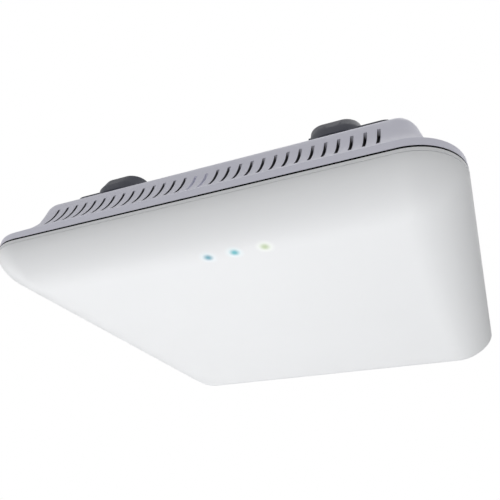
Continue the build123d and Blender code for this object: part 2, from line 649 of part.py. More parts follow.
def lock_stud(x, y):
    """Shoulder stud screwed into the back, whose head rides on the bracket plate."""
    stud = rod(x, y, BACK_Z, PLATE_BOTTOM_Z - 0.3, 4.4)
    stud += rod(x, y, PLATE_BOTTOM_Z - 1, PLATE_TOP_Z + 0.5, STUD_NECK_RADIUS)
    head = rod(x, y, PLATE_TOP_Z + 0.3, PLATE_TOP_Z + 1.9, STUD_HEAD_RADIUS)
    stud += chamfer(head.faces().sort_by(Axis.Z)[-1].edges(), 0.4)
    stud += rod(x, y, BACK_Z - STUD_PILOT_DEPTH + 0.4, BACK_Z + 1, STUD_PILOT_RADIUS - 0.02)
    return stud - block(x - 0.5, x + 0.5, y - 3, y + 3, PLATE_TOP_Z + 1.1, PLATE_TOP_Z + 3)


def release_latch():
    """Lever with a ridged thumb tab, a pivot barrel and a nose that drops into the back."""
    pivot_y, pivot_z = LATCH_PIVOT
    lever = block(
        -LATCH_HALF_WIDTH, LATCH_HALF_WIDTH, NOTCH_Y - 1, pivot_y, LATCH_BOTTOM_Z, LATCH_TOP_Z
    )
    tab = rounded_block(-9.0, 9.0, LATCH_TIP_Y, NOTCH_Y - 0.8, LATCH_BOTTOM_Z, LATCH_TOP_Z, 2.5)
    lever += tab
    for i in range(4):
        lever += rod_x(-6.5, 6.5, LATCH_TIP_Y + 1.6 + 1.5 * i, LATCH_BOTTOM_Z, 0.45)
    lever += rod_x(-LATCH_HALF_WIDTH, LATCH_HALF_WIDTH, pivot_y, pivot_z, 2.4)
    nose = block(-NOSE_HALF_X, NOSE_HALF_X, *NOSE_Y, NOSE_TIP_Z, LATCH_BOTTOM_Z + 1)
    lever += fillet(nose.edges().filter_by(Axis.Z), 0.6)
    lever -= block(-3.5, 3.5, -42, -26, LATCH_TOP_Z - 0.8, LATCH_TOP_Z + 1)
    return lever - rod_x(-9, 9, pivot_y, pivot_z, LATCH_PIN_RADIUS + 0.05)


def latch_pin():
    """Steel pin that the latch turns on, pressed into the bracket's ears."""
    return rod_x(-9.8, 9.8, *LATCH_PIVOT, LATCH_PIN_RADIUS)


def latch_spring():
    """Leaf spring screwed to the bracket that presses the latch down."""
    seat, half = SPRING_SEAT_Z, SPRING_THICKNESS / 2
    centreline = Polyline((-9.6, seat), (-15.0, seat), (-24.0, seat + 0.5), (-34.0, LATCH_TOP_Z - 0.38))
    face = Plane.YZ * make_face(offset(centreline, amount=half, side=Side.BOTH))
    leaf = Pos(-SPRING_WIDTH / 2, 0, half + 0.02) * extrude(face, SPRING_WIDTH)
    return leaf - rod(0, SPRING_SCREW_Y, -6, 0, SPRING_SCREW_RADIUS + 0.2)


def latch_spring_screw():
    """Small screw that holds the leaf spring."""
    top = SPRING_SEAT_Z + SPRING_THICKNESS + 0.04
    screw = rod(0, SPRING_SCREW_Y, top, top + 1.0, 1.9)
    screw += rod(0, SPRING_SCREW_Y, -6.2, top + 0.1, SPRING_SCREW_RADIUS - 0.02)
    return screw - cross_recess(0, SPRING_SCREW_Y, top + 0.6, 2.0)


def cross_recess(x, y, z, width, up=True):
    """A cross-head driver recess, cut from z upwards or downwards."""
    z0, z1 = (z, z + 3) if up else (z - 3, z)
    half, blade = width / 2, width / 8
    return block(x - half, x + half, y - blade, y + blade, z0, z1) + block(
        x - blade, x + blade, y - half, y + half, z0, z1
    )


# ---- fasteners -----------------------------------------------------------------------------------
def case_screw(x, y):
    """Screw at the bottom of a well in the back that holds the cover on."""
    head = rod(x, y, CASE_SEAT_Z, CASE_SEAT_Z + 2.2, 2.8)
    head = chamfer(head.faces().sort_by(Axis.Z)[-1].edges(), 0.5)
    screw = head + rod(x, y, CASE_SEAT_Z - 10, CASE_SEAT_Z + 1, CASE_PILOT_RADIUS - 0.02)
    return screw - cross_recess(x, y, CASE_SEAT_Z + 1.0, 3.2)


def board_screw(x, y):
    """Screw that holds the board to a post, head towards the cover."""
    seat = BOARD_BOTTOM_Z
    head = rod(x, y, seat - 2.0, seat, 2.7)
    head = chamfer(head.faces().sort_by(Axis.Z)[0].edges(), 0.5)
    screw = head + rod(x, y, seat - 1, BOARD_TOP_Z + 7, BOARD_PILOT_RADIUS - 0.02)
    return screw - cross_recess(x, y, seat - 1.0, 3.0, up=False)


# ---- board and what is on it ---------------------------------------------------------------------
def main_board():
    """The circuit board."""
    board = rounded_block(
        -BOARD_HALF_WIDTH, BOARD_HALF_WIDTH, BOARD_NEAR_Y, BOARD_FAR_Y, BOARD_BOTTOM_Z, BOARD_TOP_Z, 3
    )
    for x, y in BOARD_POSTS:
        board -= rod(x, y, BOARD_BOTTOM_Z - 1, BOARD_TOP_Z + 1, BOARD_HOLE_RADIUS)
    for sx in (-1, 1):
        board -= rod(sx * BOARD_HALF_WIDTH, -50, BOARD_BOTTOM_Z - 1, BOARD_TOP_Z + 1, 2.0)
    return board


def square_part(x, y, size, z0, z1):
    """A square chip or pad on the board."""
    half = size / 2
    return block(x - half, x + half, y - half, y + half, z0, z1)


def chip(x, y, width, depth, height=CHIP_HEIGHT):
    """A moulded chip with a pin-one dimple."""
    x0, y0, top = x - width / 2, y - depth / 2, BOARD_TOP_Z + height
    body = block(x0, x0 + width, y0, y0 + depth, BOARD_TOP_Z, top)
    body = chamfer(body.faces().sort_by(Axis.Z)[-1].edges(), 0.25)
    return body - rod(x0 + 1.6, y0 + 1.6, top - 0.15, 0, 0.5)


def heatsink():
    """Finned aluminium heatsink over the processor and the two radios."""
    sink = block(*SINK_X, *SINK_Y, SINK_BASE_Z, SINK_BASE_Z + SINK_BASE)
    pitch = (SINK_X[1] - SINK_X[0] - FIN_THICKNESS) / (FIN_COUNT - 1)
    for i in range(FIN_COUNT):
        x0 = SINK_X[0] + pitch * i
        sink += block(x0, x0 + FIN_THICKNESS, *SINK_Y, SINK_BASE_Z + SINK_BASE - 0.5, SINK_TOP_Z)
    return sink


def transformer(x, y):
    """Moulded Ethernet transformer with a row of leads along each side."""
    body = block(x - 8, x + 8, y - 5, y + 5, BOARD_TOP_Z + 0.3, BOARD_TOP_Z + 6)
    body = fillet(body.edges().filter_by(Axis.Z), 0.8)
    for i in range(TRANSFORMER_LEADS):
        px = x + (i - (TRANSFORMER_LEADS - 1) / 2) * TRANSFORMER_PITCH
        body += block(px - 0.4, px + 0.4, y - 6.4, y + 6.4, BOARD_TOP_Z, BOARD_TOP_Z + 0.6)
    return body


def capacitor(x, y):
    """Electrolytic capacitor can on its square foot, with a pressure groove."""
    foot = square_part(x, y, CAPACITOR_FOOT, BOARD_TOP_Z, BOARD_TOP_Z + 1.2)
    foot = chamfer(foot.edges().filter_by(Axis.Z).sort_by(Axis.X)[-2:], 1.2)
    top = BOARD_TOP_Z + CAPACITOR_HEIGHT
    can = rod(x, y, BOARD_TOP_Z + 1.0, top, CAPACITOR_RADIUS)
    can = fillet(can.faces().sort_by(Axis.Z)[-1].edges(), 0.5)
    groove = rod(x, y, BOARD_TOP_Z + 1.9, BOARD_TOP_Z + 2.5, CAPACITOR_RADIUS + 1)
    groove -= rod(x, y, BOARD_TOP_Z + 1, BOARD_TOP_Z + 3, CAPACITOR_RADIUS - 0.4)
    return foot + can - groove


def choke(x, y):
    """Moulded power inductor."""
    body = square_part(x, y, 9.6, BOARD_TOP_Z, BOARD_TOP_Z + 4.6)
    body = chamfer(body.edges().filter_by(Axis.Z), 1.8)
    return chamfer(body.faces().sort_by(Axis.Z)[-1].edges(), 0.4)


def rf_shield(x, y):
    """Folded tin can over one radio, open at the board, with vent dimples."""
    sx, sy, height = SHIELD_SIZE
    low = BOARD_BOTTOM_Z - height
    can = rounded_block(x - sx / 2, x + sx / 2, y - sy / 2, y + sy / 2, low, BOARD_BOTTOM_Z, 0.8)
    can -= rounded_block(
        x - sx / 2 + SHIELD_SHEET, x + sx / 2 - SHIELD_SHEET,
        y - sy / 2 + SHIELD_SHEET, y + sy / 2 - SHIELD_SHEET, low + SHIELD_SHEET, 0, 0.5,
    )
    for i in range(5):
        for j in range(4):
            can -= rod(x + (i - 2) * 6.0, y + (j - 1.5) * 6.0, low - 1, low + 1, 0.7)
    return can


def status_led(x):
    """Surface-mounted LED on the underside of the board."""
    led = block(x - 1.0, x + 1.0, LED_Y - 0.8, LED_Y + 0.8, BOARD_BOTTOM_Z - 0.5, BOARD_BOTTOM_Z)
    return led + rod(x, LED_Y, BOARD_BOTTOM_Z - LED_HEIGHT, BOARD_BOTTOM_Z - 0.4, 0.7)


def light_pipes():
    """Three clear rods on one bar, from the LEDs to the thin windows in the cover."""
    top = BOARD_BOTTOM_Z - LED_HEIGHT - 0.4
    bar = block(LED_X[0] - 3, LED_X[-1] + 3, LED_Y - 1.6, LED_Y + 1.6, PIPE_BAR_Z, PIPE_BAR_Z + 1.6)
    bar = fillet(bar.edges().filter_by(Axis.Z), 1.5)
    for x in LED_X:
        bar += rod(x, LED_Y, FACE_Z + WINDOW_SKIN + 0.05, top, PIPE_RADIUS)
    return bar


def led_mask():
    """Black foam strip that keeps the three lights apart."""
    strip = rounded_block(
        LED_X[0] - 4.5, LED_X[-1] + 4.5, LED_Y - 3.5, LED_Y + 3.5,
        BOARD_BOTTOM_Z - 4.5, BOARD_BOTTOM_Z - 0.05, 1.5,
    )
    for x in LED_X:
        strip -= rod(x, LED_Y, BOARD_BOTTOM_Z - 6, BOARD_BOTTOM_Z + 1, PIPE_RADIUS + 0.1)
    return strip


# ---- jacks ---------------------------------------------------------------------------------------
def jack_limits(x):
    """Outer limits of a network jack centred on x."""
    width, depth, height = JACK_SIZE
    near = JACK_FRONT_Y - depth
    return (x - width / 2, x + width / 2, near, JACK_FRONT_Y, BOARD_TOP_Z, BOARD_TOP_Z + height)


def socket_cut(x):
    """The plug's space in a network jack: the wide part, the latch step and the latch notch."""
    y0 = JACK_FRONT_Y - SOCKET_DEPTH
    low, high = BOARD_TOP_Z + SOCKET_Z[0], BOARD_TOP_Z + SOCKET_Z[1]
    half = SOCKET_WIDTH / 2
    cut = block(x - half, x + half, y0, JACK_FRONT_Y + 1, low, high)
    cut += block(x - 3.2, x + 3.2, y0 + 3, JACK_FRONT_Y + 1, high - 0.1, high + 1.6)
    return cut + block(x - 2.0, x + 2.0, y0 + 3, JACK_FRONT_Y + 1, high + 1.5, high + 2.7)


def jack_shell(x):
    """Folded steel screen round a network jack, open at the front's socket and at the back."""
    x0, x1, y0, y1, z0, z1 = jack_limits(x)
    t = SHELL_THICKNESS
    shell = block(x0, x1, y0, y1, z0, z1) - block(x0 + t, x1 - t, y0 - 1, y1 - t, z0 - 1, z1 - t)
    shell -= block(x - 6.6, x + 6.6, y1 - 1, y1 + 1, z0 + 1.8, z1 - 0.9)
    for sx in (-1, 1):
        shell -= block(x + sx * 7.9 - 0.5, x + sx * 7.9 + 0.5, y1 - 9, y1 - 4, z0 + 5.0, z0 + 5.6)
        shell -= block(x + sx * 7.9 - 0.5, x + sx * 7.9 + 0.5, y1 - 9, y1 - 4, z0 + 8.0, z0 + 8.6)
    return shell


def jack_insert(x):
    """Plastic body of a network jack, with the socket."""
    x0, x1, y0, y1, z0, z1 = jack_limits(x)
    t = SHELL_THICKNESS + 0.02
    insert = block(x0 + t, x1 - t, y0 + 0.2, y1 - t, z0 + 0.05, z1 - t)
    insert -= socket_cut(x)
    return insert - contact_grooves(x)


def contact_grooves(x):
    """Grooves in the jack's floor for the eight contacts."""
    grooves = []
    y0 = JACK_FRONT_Y - SOCKET_DEPTH
    low = BOARD_TOP_Z + SOCKET_Z[0]
    for i in range(CONTACT_COUNT):
        cx = x + (i - (CONTACT_COUNT - 1) / 2) * CONTACT_PITCH
        grooves.append(block(cx - 0.32, cx + 0.32, y0 - 1.5, JACK_FRONT_Y - 2, low - 0.7, low + 0.2))
        grooves.append(block(cx - 0.32, cx + 0.32, y0 - 1.5, y0 + 0.1, low - 0.7, low + 3.4))
    return grooves


def jack_contacts(x):
    """The eight sprung contacts of a network jack."""
    y0 = JACK_FRONT_Y - SOCKET_DEPTH
    low = BOARD_TOP_Z + SOCKET_Z[0]
    made = []
    for i in range(CONTACT_COUNT):
        cx = x + (i - (CONTACT_COUNT - 1) / 2) * CONTACT_PITCH
        points = [(JACK_FRONT_Y - 2.4, low - 0.45), (y0 + 4.0, low - 0.3), (y0 - 1.1, low + 2.9)]
        line = Polyline(*points)
        face = Plane.YZ * make_face(offset(line, amount=0.16, side=Side.BOTH))
        made.append(Pos(cx - CONTACT_HALF, 0, 0) * extrude(face, 2 * CONTACT_HALF))
    return made


def dc_jack_housing():
    """Moulded barrel-plug socket for the power adapter."""
    width, depth, height = DC_JACK_SIZE
    x0, x1 = DC_JACK_X - width / 2, DC_JACK_X + width / 2
    body = block(x0, x1, JACK_FRONT_Y - depth, JACK_FRONT_Y, BOARD_TOP_Z, BOARD_TOP_Z + height)
    body = fillet(body.edges().filter_by(Axis.Y).group_by(Axis.Z)[-1], 1.0)
    body -= rod_y(DC_JACK_X, JACK_FRONT_Y - 10, JACK_FRONT_Y + 1, DC_AXIS_Z, DC_BORE_RADIUS)
    return body - rod_y(DC_JACK_X, JACK_FRONT_Y - 12.5, JACK_FRONT_Y - 9, DC_AXIS_Z, 1.05)


def dc_jack_pin():
    """Centre pin of the power socket."""
    pin = rod_y(DC_JACK_X, JACK_FRONT_Y - 12.4, JACK_FRONT_Y - 1.2, DC_AXIS_Z, 1.05)
    return fillet(pin.faces().sort_by(Axis.Y)[-1].edges(), 0.5)


def reset_switch():
    """Side-facing tact switch under the reset button."""
    back = SWITCH_FRONT_Y - 3.6
    body = block(RESET_X - 3, RESET_X + 3, back, SWITCH_FRONT_Y, BOARD_TOP_Z, BOARD_TOP_Z + 7)
    body = chamfer(body.edges().filter_by(Axis.Y), 0.5)
    for sx in (-1, 1):
        x = RESET_X + sx * 3.3
        body += block(x - 0.5, x + 0.5, back + 1.0, back + 2.2, BOARD_TOP_Z, BOARD_TOP_Z + 2.0)
    return body


def reset_button():
    """Recessed button that a paper clip or fingertip presses against the tact switch."""
    back = SWITCH_FRONT_Y + RESET_TRAVEL + 0.3
    button = rod_y(RESET_X, back, RESET_FACE_Y, RESET_Z, 1.5)
    button = fillet(button.faces().sort_by(Axis.Y)[-1].edges(), 0.4)
    collar = rod_y(RESET_X, back + 0.6, back + 1.8, RESET_Z, 2.4)
    return button + collar


# ---- radio parts ---------------------------------------------------------------------------------
def antenna(x, y, turn, length):
    """Stamped antenna on two posts of the cover, with a slot, a folded end and a feed tab."""
    z0 = ANTENNA_PLATE_Z + 0.02
    z1 = z0 + ANTENNA_SHEET
    half = length / 2
    plate = block(-half, half, -4.5, 4.5, z0, z1)
    plate -= block(-half + 8, half - 6, 0.6, 1.8, z0 - 1, z1 + 1)
    plate -= block(-half + 8, -half + 9.2, 0.6, 5.0, z0 - 1, z1 + 1)
    plate += block(-half, half, 4.0, 4.5, z0, z1 + 3.0)
    plate += block(half - 0.5, half, -4.5, 4.5, z0, z1 + 2.0)
    plate += block(-half + 5.5, -half + 7.5, -6.4, -4.0, z0, z1)
    for end in (-1, 1):
        plate -= rod(end * (half - 4), 0, z0 - 1, z1 + 1, 1.0)
    return Pos(x, y, 0) * Rot(0, 0, turn) * plate


def feed_point(name):
    """Where an antenna's lead is soldered on, under its feed tab."""
    x, y, turn, length = ANTENNAS[name]
    local = Vector(-length / 2 + 6.5, -5.4, 0).rotate(Axis.Z, turn)
    return (x + local.X, y + local.Y, FEED_Z)


def arc_radii(points):
    """A radius for each bend of a route, as large as its two runs allow."""
    radii = []
    for p, q, r in zip(points, points[1:], points[2:]):
        a, b = Vector(*p) - Vector(*q), Vector(*r) - Vector(*q)
        turn = math.pi - math.radians(a.get_angle(b))
        radii.append(0.45 * min(a.length, b.length) / math.tan(turn / 2))
    return radii


def coax_lead(name):
    """Thin coaxial lead from its plug to its antenna."""
    px, py = PLUGS[name]
    first = COAX_ROUTES[name][0]
    step = Vector(first[0] - px, first[1] - py, 0).normalized() * (PLUG_RADIUS + 0.1)
    points = [(px + step.X, py + step.Y, PLUG_Z)] + COAX_ROUTES[name] + [feed_point(name)]
    path = FilletPolyline(*points, radius=arc_radii(points))
    return sweep(Plane(origin=path @ 0, z_dir=path % 0) * Circle(COAX_RADIUS), path=path)


def coax_plug(name):
    """Snap-on coaxial plug on the underside of the board."""
    x, y = PLUGS[name]
    plug = rod(x, y, BOARD_BOTTOM_Z - 1.9, BOARD_BOTTOM_Z - 0.4, PLUG_RADIUS)
    plug += rod(x, y, BOARD_BOTTOM_Z - 0.5, BOARD_BOTTOM_Z, 1.0)
    plug += square_part(x, y, 2.4, BOARD_BOTTOM_Z - 0.35, BOARD_BOTTOM_Z)
    return plug


# ---- everything, one file for each node ----------------------------------------------------------
def main():
    os.makedirs("parts", exist_ok=True)
    write("mount_bracket", mount_bracket())
    write("release_latch", release_latch())
    write("latch_pin", latch_pin())
    write("latch_spring", latch_spring())
    write("latch_spring_screw", latch_spring_screw())

    write("front_cover", front_cover())
    write("seam_gasket", seam_gasket())
    write("base_housing", base_housing())
    write("port_bay_tub", port_bay_tub())
    write("rating_label", rating_label())
    write("lock_studs", *[lock_stud(x, y) for x, y in stud_places()])
    write("case_screws", *[case_screw(x, y) for x, y in CASE_SCREWS])
    write("board_screws", *[board_screw(x, y) for x, y in BOARD_POSTS])

    write("main_board", main_board())
    write("processor_chip", chip(PROCESSOR[0], PROCESSOR[1], PROCESSOR[2], PROCESSOR[2]))
    write("radio_chips", *[chip(x, y, size, size) for x, y, size in RADIO_CHIPS])
    write("memory_chips", *[chip(*place, height=MEMORY_HEIGHT) for place in MEMORY_CHIPS])
    pad_low, pad_high = BOARD_TOP_Z + CHIP_HEIGHT, SINK_BASE_Z
    hot_chips = [PROCESSOR] + RADIO_CHIPS
    write("thermal_pads", *[square_part(x, y, size - 1, pad_low, pad_high) for x, y, size in hot_chips])
    write("heatsink", heatsink())
    write("ethernet_transformers", *[transformer(x, y) for x, y in TRANSFORMERS])
    write("board_capacitors", *[capacitor(x, y) for x, y in CAPACITORS])
    write("board_chokes", *[choke(x, y) for x, y in CHOKES])
    for name, (x, y) in SHIELDS.items():
        write(name, rf_shield(x, y))
    write("status_leds", *[status_led(x) for x in LED_X])
    write("light_pipes", light_pipes())
    write("led_mask", led_mask())

    for name, x in (("poe", POE_JACK_X), ("lan", LAN_JACK_X)):
        write(f"{name}_jack_shell", jack_shell(x))
        write(f"{name}_jack_insert", jack_insert(x))
        write(f"{name}_jack_contacts", *jack_contacts(x))
    write("dc_jack_housing", dc_jack_housing())
    write("dc_jack_pin", dc_jack_pin())
    write("reset_switch", reset_switch())
    write("reset_button", reset_button())

    for name, place in ANTENNAS.items():
        write(name, antenna(*place))
        write(name.replace("antenna", "coax"), coax_lead(name))
    write("coax_plugs", *[coax_plug(name) for name in PLUGS])


main()
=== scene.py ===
"""Looks of the ceiling access point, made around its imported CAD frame. Lengths are in metres."""

import json
import math

import bmesh
import bpy
from mathutils import Matrix, Vector


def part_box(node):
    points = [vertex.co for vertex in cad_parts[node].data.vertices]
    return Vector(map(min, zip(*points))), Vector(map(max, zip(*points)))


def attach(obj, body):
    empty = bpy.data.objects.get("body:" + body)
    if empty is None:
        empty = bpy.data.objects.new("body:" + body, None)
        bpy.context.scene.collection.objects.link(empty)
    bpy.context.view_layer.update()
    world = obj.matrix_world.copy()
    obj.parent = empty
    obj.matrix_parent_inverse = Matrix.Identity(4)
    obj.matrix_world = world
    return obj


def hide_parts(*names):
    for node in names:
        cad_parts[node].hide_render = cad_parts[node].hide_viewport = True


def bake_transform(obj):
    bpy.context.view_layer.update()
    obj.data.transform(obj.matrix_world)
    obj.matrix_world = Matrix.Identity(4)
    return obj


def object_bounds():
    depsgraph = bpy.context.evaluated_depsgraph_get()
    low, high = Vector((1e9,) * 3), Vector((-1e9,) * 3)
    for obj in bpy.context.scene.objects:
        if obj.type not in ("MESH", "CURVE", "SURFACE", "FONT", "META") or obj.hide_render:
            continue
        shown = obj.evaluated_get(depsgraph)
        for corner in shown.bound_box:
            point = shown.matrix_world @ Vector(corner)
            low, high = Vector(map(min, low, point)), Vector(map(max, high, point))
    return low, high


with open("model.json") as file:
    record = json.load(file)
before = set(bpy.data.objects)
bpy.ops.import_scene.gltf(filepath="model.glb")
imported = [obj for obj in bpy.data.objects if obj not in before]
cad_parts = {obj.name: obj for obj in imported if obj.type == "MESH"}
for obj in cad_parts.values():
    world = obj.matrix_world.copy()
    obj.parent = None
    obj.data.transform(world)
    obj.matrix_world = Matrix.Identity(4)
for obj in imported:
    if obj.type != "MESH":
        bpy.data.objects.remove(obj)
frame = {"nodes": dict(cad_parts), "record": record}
NODES = frame["nodes"]
CAD_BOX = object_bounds()
MM = 0.001

# ---- camera --------------------------------------------------------------------------------------
CAMERA_AT = Vector((0.0945, -0.2374, -0.1559))
CAMERA_YAW = -0.385  # turned from +Y towards -X
CAMERA_PITCH = 0.498  # looking up
CAMERA_ROLL = 0.012
CAMERA_LENS = 38.78
CAMERA_SENSOR = 36.0
CAMERA_SHIFT = (-0.0541, 0.0238)

# ---- cover and its status lights -----------------------------------------------------------------
COVER_COLOUR = (0.842, 0.852, 0.866)
LIGHT_STEPS = (0.0, 11.2 * MM, 23.6 * MM)  # along X, from the first light
LIGHT_HALF_WIDTH = 1.0 * MM
LIGHT_COLOURS = ((0.12, 0.34, 0.43), (0.11, 0.45, 0.51), (0.50, 0.59, 0.37))
UNLIT_COLOUR = (0.03, 0.04, 0.045)  # of the cover itself where a light shines through
GLOW = (0.2 * MM, 2.7 * MM)  # a light's colour is full inside the first radius and gone at the second
HALO = (1.8 * MM, 4.4 * MM)  # the same for the faint light around it
HALO_POWER = 0.15

# ---- housing -------------------------------------------------------------------------------------
BASE_COLOUR = (0.795, 0.795, 0.9)
BASE_FINISH = (BASE_COLOUR, 0.46, 0.42 * MM, 0.022 * MM, 0.02)  # colour, roughness, grain, relief, spread
# painted shade: near-black given to the housing's inward faces and slot sides, standing in for the shade
# inside the housing
INSIDE_PAINTED_SHADE = (0.08, 0.08, 0.09)
INSIDE_DOT = 0.05  # faces turned less outwards than this are inside or are a slot's side
UPRIGHT_DOT = 0.8  # faces turned more up or down than this keep the outside colour
INSIDE_TOP = -15.0 * MM
BLIND_SLOTS = 5.8 * MM  # the shallow slots end this far from the middle of a side

# ---- finishes ------------------------------------------------------------------------------------
NOISE_SPAN = (0.3, 0.7)  # nearly all of a noise lies between these
PLASTIC_IOR = 1.49
GLOSS_UNEVEN = 0.05  # how far a plastic's roughness wanders
SMOOTH_ANGLE = math.radians(28)
WELD_DISTANCE = 0.0005 * MM

# ---- room ----------------------------------------------------------------------------------------
FLOOR_Z = -1.7
FLOOR_SIZE = 12.0
FLOOR_SHADES = ((0.80, 0.80, 0.80), (0.84, 0.84, 0.84))
FLOOR_CLOUDS = 0.4  # size of the patches between those shades
SKY = ((-0.35, 0.185), (0.05, 0.215), (0.60, 0.65), (0.95, 0.585))  # height of the direction, brightness
SOFTBOXES = (  # name, place, width, power in watts
    ("key_below", (-1.15, 1.25, -1.60), 2.1, 47.0),
    ("fill_below", (0.0, 0.0, -1.60), 5.0, 25.2),
    ("left_low", (-1.9, -0.3, -0.5), 1.6, 7.6),
    ("back_top", (0.0, 0.9, 0.9), 1.4, 3.6),
    ("top_soft", (0.3, 0.4, 0.9), 1.0, 1.4),
)
MATT_BOXES = ("key_below",)  # left out of reflections


# ---- node graphs ---------------------------------------------------------------------------------
class Graph:
    """A material's node tree, with short calls for the nodes used here."""

    def __init__(self, name):
        self.material = bpy.data.materials.new(name)
        self.material.use_nodes = True
        self.tree = self.material.node_tree
        self.shader = self.tree.nodes["Principled BSDF"]
        self.place = self.add("ShaderNodeTexCoord").outputs["Object"]

    def add(self, kind, **settings):
        """A new node with the given settings."""
        node = self.tree.nodes.new(kind)
        for key, value in settings.items():
            setattr(node, key, value)
        return node

    def put(self, socket, value):
        """Links an output to a socket, or sets a plain value on it."""
        if isinstance(value, bpy.types.NodeSocket):
            self.tree.links.new(value, socket)
        else:
            socket.default_value = value

    def calc(self, operation, a, b=0.0):
        """The result of one sum."""
        node = self.add("ShaderNodeMath", operation=operation)
        self.put(node.inputs[0], a)
        self.put(node.inputs[1], b)
        return node.outputs[0]

    def scaled(self, factors):
        """The place on the object, stretched along each axis."""
        node = self.add("ShaderNodeVectorMath", operation="MULTIPLY")
        self.put(node.inputs[0], self.place)
        self.put(node.inputs[1], factors)
        return node.outputs[0]

    def noise(self, size, detail=2.0, vector=None, roughness=0.5):
        """Noise with features of about the given size in metres."""
        node = self.add("ShaderNodeTexNoise")
        self.put(node.inputs["Vector"], self.place if vector is None else vector)
        node.inputs["Scale"].default_value = 1.0 / size
        node.inputs["Detail"].default_value = detail
        node.inputs["Roughness"].default_value = roughness
        return node.outputs["Fac"]

    def cells(self, size):
        """Distance to the nearest of scattered points that stand about the given size apart, in metres."""
        node = self.add("ShaderNodeTexVoronoi")
        self.put(node.inputs["Vector"], self.place)
        node.inputs["Scale"].default_value = 1.0 / size
        return node.outputs["Distance"]

    def remap(self, value, from_range, to_range, smooth=False):
        """A value moved from one range to another and kept inside it."""
        node = self.add("ShaderNodeMapRange")
        if smooth:
            node.interpolation_type = "SMOOTHSTEP"
        self.put(node.inputs["Value"], value)
        for name, number in zip(("From Min", "From Max", "To Min", "To Max"), (*from_range, *to_range)):
            node.inputs[name].default_value = number
        return node.outputs["Result"]

    def mix(self, share, a, b):
        """A colour between two others."""
        node = self.add("ShaderNodeMix", data_type="RGBA")
        self.put(node.inputs[0], share)
        self.put(node.inputs[6], (*a, 1.0) if isinstance(a, tuple) else a)
        self.put(node.inputs[7], (*b, 1.0) if isinstance(b, tuple) else b)
        return node.outputs[2]

    def bump(self, height, distance, strength=1.0):
        """A surface direction bent by a height."""
        node = self.add("ShaderNodeBump")
        self.put(node.inputs["Height"], height)
        node.inputs["Distance"].default_value = distance
        node.inputs["Strength"].default_value = strength
        return node.outputs["Normal"]

    def set(self, **sockets):
        """Links or sets the shader's sockets, named with underscores for spaces."""
        for name, value in sockets.items():
            self.put(self.shader.inputs[name.replace("_", " ")], value)


def shade(colour, factor):
    """A colour made lighter or darker."""
    return tuple(min(c * factor, 1.0) for c in colour)


def plastic(name, colour, roughness=0.5, grain=0.35 * MM, relief=0.02 * MM, spread=0.05):
    """Moulded plastic: spark-eroded grain, faint flow marks and uneven gloss."""
    g = Graph(name)
    flow = g.noise(45 * MM, 3.0)
    fine = g.noise(grain, 3.0, roughness=0.6)
    tint = g.mix(flow, shade(colour, 1 - spread), shade(colour, 1 + spread))
    dullness = (roughness - GLOSS_UNEVEN, roughness + GLOSS_UNEVEN)
    g.set(
        Base_Color=g.mix(g.calc("MULTIPLY", fine, 0.12), tint, shade(colour, 0.86)),
        Roughness=g.remap(g.noise(9 * MM, 4.0), NOISE_SPAN, dullness),
        Normal=g.bump(fine, relief),
    )
    g.shader.inputs["IOR"].default_value = PLASTIC_IOR
    return g


def metal(name, colour, roughness=0.3, lay=(1.0, 12.0, 12.0), relief=0.006 * MM):
    """Drawn, rolled or milled metal with fine lines along one direction and a few duller patches."""
    g = Graph(name)
    lines = g.noise(1.2 * MM, 4.0, vector=g.scaled(lay), roughness=0.7)
    patches = g.noise(6 * MM, 3.0)
    dullness = g.calc("ADD", g.calc("MULTIPLY", lines, 0.6), g.calc("MULTIPLY", patches, 0.4))
    g.set(
        Base_Color=g.mix(patches, shade(colour, 0.90), shade(colour, 1.05)),
        Roughness=g.remap(dullness, NOISE_SPAN, (roughness * 0.75, roughness * 1.35)),
        Normal=g.bump(lines, relief),
    )
    g.shader.inputs["Metallic"].default_value = 1.0
    return g


def rubber(name, colour, cell=0.6 * MM, relief=0.05 * MM, gloss=0.5):
    """Soft rubber or foam with a small cellular surface."""
    g = Graph(name)
    pores = g.cells(cell)
    g.set(
        Base_Color=g.mix(pores, shade(colour, 0.8), shade(colour, 1.25)),
        Roughness=g.remap(g.noise(3 * MM), NOISE_SPAN, (0.72, 0.9)),
        Normal=g.bump(pores, relief, 0.6),
    )
    g.shader.inputs["Specular IOR Level"].default_value = gloss
    return g


def cover_plastic():
    """White satin cover with three soft lights shining through its thin spots."""
    g = plastic("cover_white", COVER_COLOUR, 0.36, 0.5 * MM, 0.006 * MM, 0.008)
    low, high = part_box("status_leds")
    y = (low.y + high.y) / 2
    glow, spread = (0.0, 0.0, 0.0), 0.0
    for step, colour in zip(LIGHT_STEPS, LIGHT_COLOURS):
        away = g.add("ShaderNodeVectorMath", operation="DISTANCE")
        g.put(away.inputs[0], g.scaled((1.0, 1.0, 0.0)))
        g.put(away.inputs[1], (low.x + LIGHT_HALF_WIDTH + step, y, 0.0))
        near = g.remap(away.outputs["Value"], GLOW, (1.0, 0.0), smooth=True)
        halo = g.remap(away.outputs["Value"], HALO, (1.0, 0.0), smooth=True)
        glow = g.mix(near, g.mix(halo, glow, shade(colour, HALO_POWER)), colour)
        spread = g.calc("MAXIMUM", spread, near)
    base = g.shader.inputs["Base Color"].links[0].from_socket
    g.set(Base_Color=g.mix(spread, base, UNLIT_COLOUR), Emission_Color=glow)
    g.shader.inputs["Emission Strength"].default_value = 1.0
    return g


